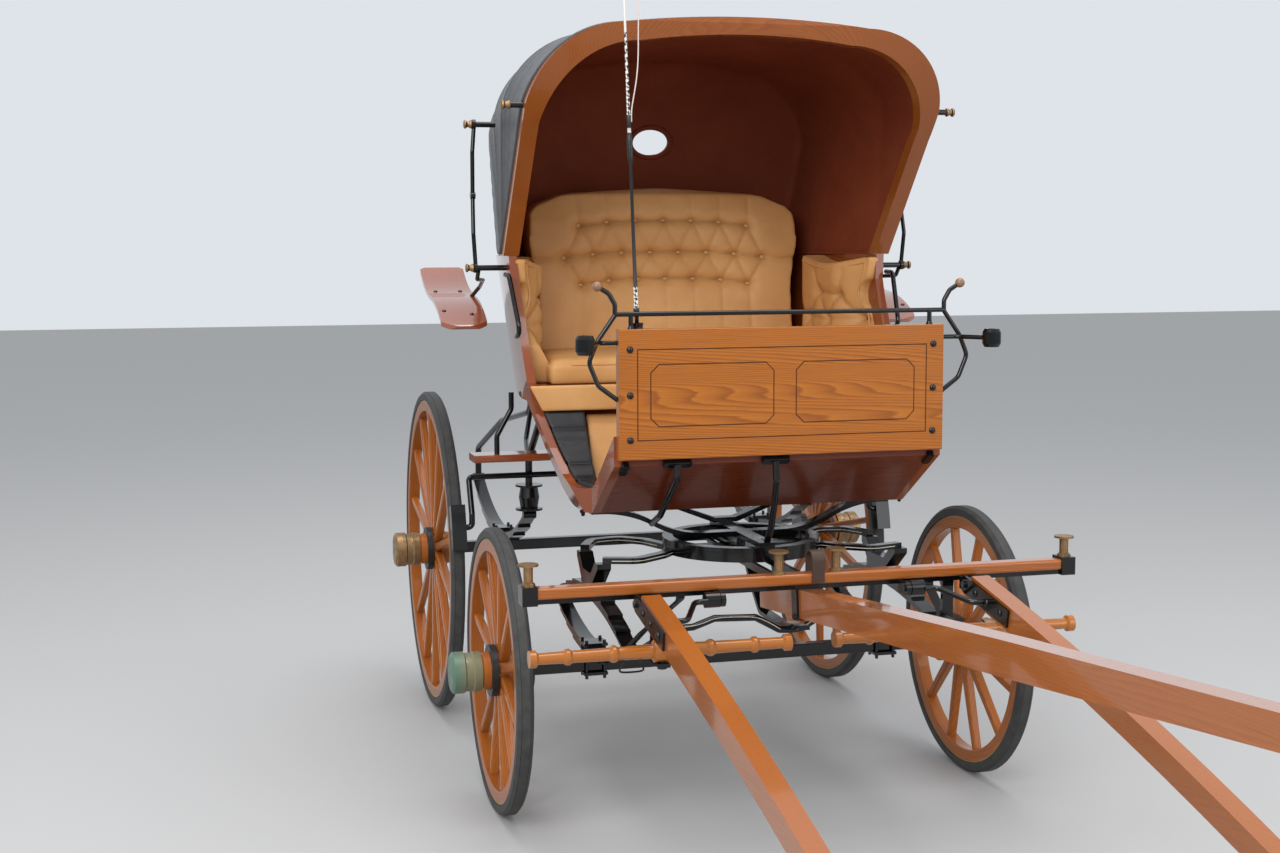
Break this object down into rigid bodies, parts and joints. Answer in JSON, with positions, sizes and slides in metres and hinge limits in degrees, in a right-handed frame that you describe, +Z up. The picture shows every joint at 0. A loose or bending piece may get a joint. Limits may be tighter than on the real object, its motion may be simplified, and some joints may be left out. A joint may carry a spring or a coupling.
{
  "type": "horse drawn carriage",
  "caption": "Light open carriage with a folding leather hood, a tufted bench seat, spoked wooden wheels, a turning front axle, a pole and a pair of hinged shafts.",
  "frame": {"origin": "on the ground, at the centre of the box round the carriage as it parks", "axes": "+X to the carriage's left, +Y to its rear, +Z up; it drives towards -Y"},
  "size_m": [1.64, 4.733, 2.3701],
  "materials": {
    "varnished_wood": "glossy orange-brown varnish",
    "dark_wood": "glossy dark red-brown varnish",
    "black_iron": "glossy black paint",
    "brass": "polished with some tarnish",
    "tyre_rubber": "matt grey-black",
    "tan_leather": "soft sheen",
    "white_cord": "matt twisted cord",
    "black_leather": "soft sheen"
  },
  "bodies": {
    "carriage": {"arm_pads": "tan_leather", "back_panel": "dark_wood", "brake_gear": "black_iron", "dash_board": "varnished_wood", "dash_irons": "black_iron", "dash_rail": "black_iron", "foot_board": "varnished_wood", "grab_handles": "black_iron", "heel_pad": "tan_leather", "hood_cover": "black_leather", "hood_irons": "black_iron", "hood_rim": "varnished_wood", "rear_axle": "black_iron", "rear_clips": "black_iron", "rear_springs": "black_iron", "rocker_pads": "black_leather", "seat_back": "tan_leather", "seat_cushion": "tan_leather", "seat_deck": "varnished_wood", "seat_fall": "tan_leather", "side_panels": "dark_wood", "splash_boards": "dark_wood", "splash_irons": "black_iron", "spring_hangers": "black_iron", "step_boards": "varnished_wood", "step_irons": "black_iron", "toe_board": "dark_wood", "upper_bed": "black_iron", "whip": "black_iron", "whip_socket": "black_iron", "whip_thong": "white_cord"},
    "forecarriage": {"bar_loop": "tan_leather", "fore_irons": "black_iron", "front_axle": "black_iron", "front_clips": "black_iron", "front_springs": "black_iron", "lower_bed": "black_iron", "pole": "varnished_wood", "pole_head": "black_iron", "roller_bolts": "brass", "splinter_bar": "varnished_wood", "splinter_irons": "black_iron"},
    "front_wheel_left": {"front_wheel_left": "varnished_wood", "front_tyre_left": "tyre_rubber", "front_hub_left": "brass"},
    "rear_wheel_left": {"rear_wheel_left": "varnished_wood", "rear_tyre_left": "tyre_rubber", "rear_hub_left": "brass"},
    "shaft_left": {"shaft_left": "varnished_wood", "shaft_irons_left": "black_iron"},
    "swingle_tree_left": {"swingle_tree_left": "varnished_wood"},
    "front_wheel_right": {"front_wheel_right": "varnished_wood", "front_tyre_right": "tyre_rubber", "front_hub_right": "brass"},
    "rear_wheel_right": {"rear_wheel_right": "varnished_wood", "rear_tyre_right": "tyre_rubber", "rear_hub_right": "brass"},
    "shaft_right": {"shaft_right": "varnished_wood", "shaft_irons_right": "black_iron"},
    "swingle_tree_right": {"swingle_tree_right": "varnished_wood"}
  },
  "joints": [
    {"name": "steering", "type": "hinge", "parent": "carriage", "child": "forecarriage", "pos_m": [0, 0.6835, 0.7095], "axis": [0, 0, 1], "range_deg": [-35, 35]},
    {"name": "front_wheel_left_spin", "type": "hinge", "parent": "forecarriage", "child": "front_wheel_left", "pos_m": [0.69, 0.6835, 0.385], "axis": [1, 0, 0], "continuous": true},
    {"name": "rear_wheel_left_spin", "type": "hinge", "parent": "carriage", "child": "rear_wheel_left", "pos_m": [0.69, 1.8445, 0.522], "axis": [1, 0, 0], "continuous": true},
    {"name": "shaft_left_lift", "type": "hinge", "parent": "forecarriage", "child": "shaft_left", "pos_m": [0.43, 0.1055, 0.668], "axis": [-1, 0, 0], "range_deg": [0, 55]},
    {"name": "swingle_tree_left_swing", "type": "hinge", "parent": "forecarriage", "child": "swingle_tree_left", "pos_m": [0.388, 0.1275, 0.545], "axis": [0, 0, 1], "range_deg": [-15, 15]},
    {"name": "front_wheel_right_spin", "type": "hinge", "parent": "forecarriage", "child": "front_wheel_right", "pos_m": [-0.69, 0.6835, 0.385], "axis": [1, 0, 0], "continuous": true},
    {"name": "rear_wheel_right_spin", "type": "hinge", "parent": "carriage", "child": "rear_wheel_right", "pos_m": [-0.69, 1.8445, 0.522], "axis": [1, 0, 0], "continuous": true},
    {"name": "shaft_right_lift", "type": "hinge", "parent": "forecarriage", "child": "shaft_right", "pos_m": [-0.43, 0.1055, 0.668], "axis": [-1, 0, 0], "range_deg": [0, 55]},
    {"name": "swingle_tree_right_swing", "type": "hinge", "parent": "forecarriage", "child": "swingle_tree_right", "pos_m": [-0.388, 0.1275, 0.545], "axis": [0, 0, 1], "range_deg": [-15, 15]}
  ]
}
